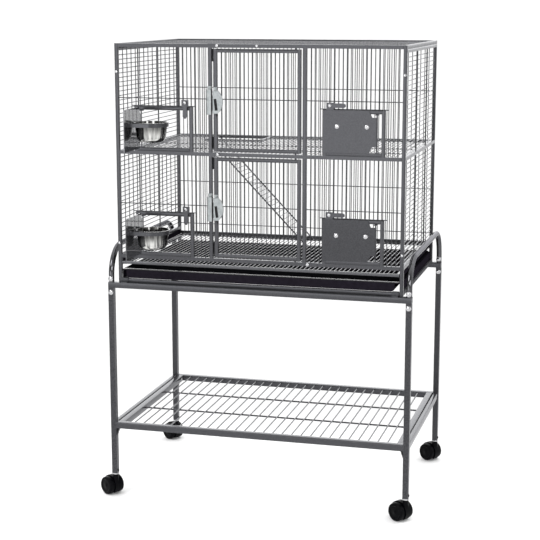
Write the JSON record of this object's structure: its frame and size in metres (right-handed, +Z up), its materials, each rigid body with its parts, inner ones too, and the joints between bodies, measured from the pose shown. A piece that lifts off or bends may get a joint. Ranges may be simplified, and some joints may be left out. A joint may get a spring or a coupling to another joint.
{
  "type": "rat cage on wheeled stand",
  "caption": "Tall wire small-animal cage on a wheeled stand with hinged doors, swing-out feeder bowls, a ramp between levels, a slide-out grate and tray, and a storage shelf.",
  "frame": {"origin": "on the floor, under the centre of the cage and stand", "axes": "+Z up, +X to the viewer's right when facing the doors, -Y out of the front"},
  "size_m": [0.9208, 0.7356, 1.298],
  "materials": {
    "coated_steel": "hammered grey powder coat",
    "bright_bolt": "bright plated",
    "zinc_latch": "zinc plated",
    "stainless_bowl": "polished",
    "black_tray": "satin",
    "black_caster": "satin",
    "black_trim": "matt"
  },
  "bodies": {
    "cage_and_stand": {"front_panel": "coated_steel", "back_panel": "coated_steel", "left_panel": "coated_steel", "right_panel": "coated_steel", "top_panel": "coated_steel", "panel_bolts": "bright_bolt", "slide_runners": "coated_steel", "mid_shelf": "coated_steel", "turn_tab_bolts": "bright_bolt", "latch_keepers": "zinc_latch", "left_u_frame": "coated_steel", "right_u_frame": "coated_steel", "front_stand_rail": "coated_steel", "back_stand_rail": "coated_steel", "stand_legs": "coated_steel", "leg_collars": "bright_bolt", "side_stretchers": "coated_steel", "storage_shelf": "coated_steel", "shelf_gussets": "black_trim", "shelf_bolts": "bright_bolt", "stand_bolts": "bright_bolt", "caster_grip_screws": "black_trim", "hold_down_clips": "coated_steel"},
    "upper_door": {"upper_door": "coated_steel", "upper_latch_cover": "zinc_latch"},
    "upper_latch_lever": {"upper_latch_lever": "black_trim"},
    "upper_left_feeder_door": {"upper_left_feeder_plate": "coated_steel", "upper_left_bowl_ring": "coated_steel"},
    "upper_left_bowl": {"upper_left_bowl": "stainless_bowl"},
    "upper_left_feeder_tab": {"upper_left_feeder_tab": "coated_steel"},
    "upper_right_feeder_door": {"upper_right_feeder_plate": "coated_steel", "upper_right_bowl_ring": "coated_steel"},
    "upper_right_bowl": {"upper_right_bowl": "stainless_bowl"},
    "upper_right_feeder_tab": {"upper_right_feeder_tab": "coated_steel"},
    "lower_door": {"lower_door": "coated_steel", "lower_latch_cover": "zinc_latch"},
    "lower_latch_lever": {"lower_latch_lever": "black_trim"},
    "lower_left_feeder_door": {"lower_left_feeder_plate": "coated_steel", "lower_left_bowl_ring": "coated_steel"},
    "lower_left_bowl": {"lower_left_bowl": "stainless_bowl"},
    "lower_left_feeder_tab": {"lower_left_feeder_tab": "coated_steel"},
    "lower_right_feeder_door": {"lower_right_feeder_plate": "coated_steel", "lower_right_bowl_ring": "coated_steel"},
    "lower_right_bowl": {"lower_right_bowl": "stainless_bowl"},
    "lower_right_feeder_tab": {"lower_right_feeder_tab": "coated_steel"},
    "upper_door_tab": {"upper_door_tab": "coated_steel"},
    "lower_door_tab": {"lower_door_tab": "coated_steel"},
    "grate_tab": {"grate_tab": "coated_steel"},
    "grate": {"grate": "coated_steel"},
    "tray": {"tray": "black_tray"},
    "ramp": {"ramp": "coated_steel"},
    "front_left_caster": {"front_left_caster_hood": "black_caster"},
    "front_left_wheels": {"front_left_caster_wheels": "black_caster"},
    "front_right_caster": {"front_right_caster_hood": "black_caster"},
    "front_right_wheels": {"front_right_caster_wheels": "black_caster"},
    "back_left_caster": {"back_left_caster_hood": "black_caster"},
    "back_left_wheels": {"back_left_caster_wheels": "black_caster"},
    "back_right_caster": {"back_right_caster_hood": "black_caster"},
    "back_right_wheels": {"back_right_caster_wheels": "black_caster"}
  },
  "joints": [
    {"name": "upper_door_swing", "type": "hinge", "parent": "cage_and_stand", "child": "upper_door", "pos_m": [0.107, -0.2615, 1.14525], "axis": [0, 0, 1], "range_deg": [0, 110]},
    {"name": "upper_latch_turn", "type": "hinge", "parent": "upper_door", "child": "upper_latch_lever", "pos_m": [-0.116, -0.2705, 1.15325], "axis": [0, -1, 0], "range_deg": [-14, 0]},
    {"name": "upper_left_feeder_swing", "type": "hinge", "parent": "cage_and_stand", "child": "upper_left_feeder_door", "pos_m": [-0.3298, -0.269, 1.065], "axis": [0, 0, -1], "range_deg": [-84.5, 16.5]},
    {"name": "upper_left_bowl_lift", "type": "slide", "parent": "upper_left_feeder_door", "child": "upper_left_bowl", "axis": [0, 0, 1], "range_m": [0, 0.06]},
    {"name": "upper_left_feeder_tab_turn", "type": "hinge", "parent": "cage_and_stand", "child": "upper_left_feeder_tab", "pos_m": [-0.2025, -0.272, 1.138], "axis": [0, 1, 0], "range_deg": [0, 90]},
    {"name": "upper_right_feeder_swing", "type": "hinge", "parent": "cage_and_stand", "child": "upper_right_feeder_door", "pos_m": [0.3298, -0.269, 1.065], "axis": [0, 0, 1], "range_deg": [0, 105]},
    {"name": "upper_right_bowl_lift", "type": "slide", "parent": "upper_right_feeder_door", "child": "upper_right_bowl", "axis": [0, 0, 1], "range_m": [0, 0.024]},
    {"name": "upper_right_feeder_tab_turn", "type": "hinge", "parent": "cage_and_stand", "child": "upper_right_feeder_tab", "pos_m": [0.2025, -0.272, 1.138], "axis": [0, -1, 0], "range_deg": [-90, 0]},
    {"name": "lower_door_swing", "type": "hinge", "parent": "cage_and_stand", "child": "lower_door", "pos_m": [0.107, -0.2615, 0.85175], "axis": [0, 0, 1], "range_deg": [0, 110]},
    {"name": "lower_latch_turn", "type": "hinge", "parent": "lower_door", "child": "lower_latch_lever", "pos_m": [-0.116, -0.2705, 0.85975], "axis": [0, -1, 0], "range_deg": [-14, 0]},
    {"name": "lower_left_feeder_swing", "type": "hinge", "parent": "cage_and_stand", "child": "lower_left_feeder_door", "pos_m": [-0.3298, -0.269, 0.7715], "axis": [0, 0, -1], "range_deg": [-84.5, 16.5]},
    {"name": "lower_left_bowl_lift", "type": "slide", "parent": "lower_left_feeder_door", "child": "lower_left_bowl", "axis": [0, 0, 1], "range_m": [0, 0.06]},
    {"name": "lower_left_feeder_tab_turn", "type": "hinge", "parent": "cage_and_stand", "child": "lower_left_feeder_tab", "pos_m": [-0.2025, -0.272, 0.8445], "axis": [0, 1, 0], "range_deg": [0, 90]},
    {"name": "lower_right_feeder_swing", "type": "hinge", "parent": "cage_and_stand", "child": "lower_right_feeder_door", "pos_m": [0.3298, -0.269, 0.7715], "axis": [0, 0, 1], "range_deg": [0, 105]},
    {"name": "lower_right_bowl_lift", "type": "slide", "parent": "lower_right_feeder_door", "child": "lower_right_bowl", "axis": [0, 0, 1], "range_m": [0, 0.024]},
    {"name": "lower_right_feeder_tab_turn", "type": "hinge", "parent": "cage_and_stand", "child": "lower_right_feeder_tab", "pos_m": [0.2025, -0.272, 0.8445], "axis": [0, -1, 0], "range_deg": [-90, 0]},
    {"name": "upper_door_tab_turn", "type": "hinge", "parent": "cage_and_stand", "child": "upper_door_tab", "pos_m": [-0.111, -0.2677, 1.292], "axis": [0, 1, 0], "range_deg": [-90, 0]},
    {"name": "lower_door_tab_turn", "type": "hinge", "parent": "cage_and_stand", "child": "lower_door_tab", "pos_m": [-0.111, -0.2677, 0.9985], "axis": [0, 1, 0], "range_deg": [-90, 0]},
    {"name": "grate_tab_turn", "type": "hinge", "parent": "cage_and_stand", "child": "grate_tab", "pos_m": [0.1425, -0.2677, 0.705], "axis": [0, -1, 0], "range_deg": [-90, 0]},
    {"name": "grate_slide", "type": "slide", "parent": "cage_and_stand", "child": "grate", "axis": [0, -1, 0], "range_m": [0, 0.45]},
    {"name": "tray_slide", "type": "slide", "parent": "cage_and_stand", "child": "tray", "axis": [0, -1, 0], "range_m": [0, 0.45]},
    {"name": "ramp_lift", "type": "hinge", "parent": "cage_and_stand", "child": "ramp", "pos_m": [-0.2605, 0.191, 0.9985], "axis": [0, -1, 0], "range_deg": [0, 38]},
    {"name": "front_left_caster_swivel", "type": "hinge", "parent": "cage_and_stand", "child": "front_left_caster", "pos_m": [-0.425, -0.2745, 0.05], "axis": [0, 0, 1], "continuous": true},
    {"name": "front_left_wheel_roll", "type": "hinge", "parent": "front_left_caster", "child": "front_left_wheels", "pos_m": [-0.4401, -0.2647, 0.026], "axis": [0.5446, 0.8387, 0], "continuous": true},
    {"name": "front_right_caster_swivel", "type": "hinge", "parent": "cage_and_stand", "child": "front_right_caster", "pos_m": [0.425, -0.2745, 0.05], "axis": [0, 0, 1], "continuous": true},
    {"name": "front_right_wheel_roll", "type": "hinge", "parent": "front_right_caster", "child": "front_right_wheels", "pos_m": [0.4099, -0.2647, 0.026], "axis": [0.5446, 0.8387, 0], "continuous": true},
    {"name": "back_left_caster_swivel", "type": "hinge", "parent": "cage_and_stand", "child": "back_left_caster", "pos_m": [-0.425, 0.2745, 0.05], "axis": [0, 0, 1], "continuous": true},
    {"name": "back_left_wheel_roll", "type": "hinge", "parent": "back_left_caster", "child": "back_left_wheels", "pos_m": [-0.4401, 0.2843, 0.026], "axis": [0.5446, 0.8387, 0], "continuous": true},
    {"name": "back_right_caster_swivel", "type": "hinge", "parent": "cage_and_stand", "child": "back_right_caster", "pos_m": [0.425, 0.2745, 0.05], "axis": [0, 0, 1], "continuous": true},
    {"name": "back_right_wheel_roll", "type": "hinge", "parent": "back_right_caster", "child": "back_right_wheels", "pos_m": [0.4099, 0.2843, 0.026], "axis": [0.5446, 0.8387, 0], "continuous": true}
  ]
}
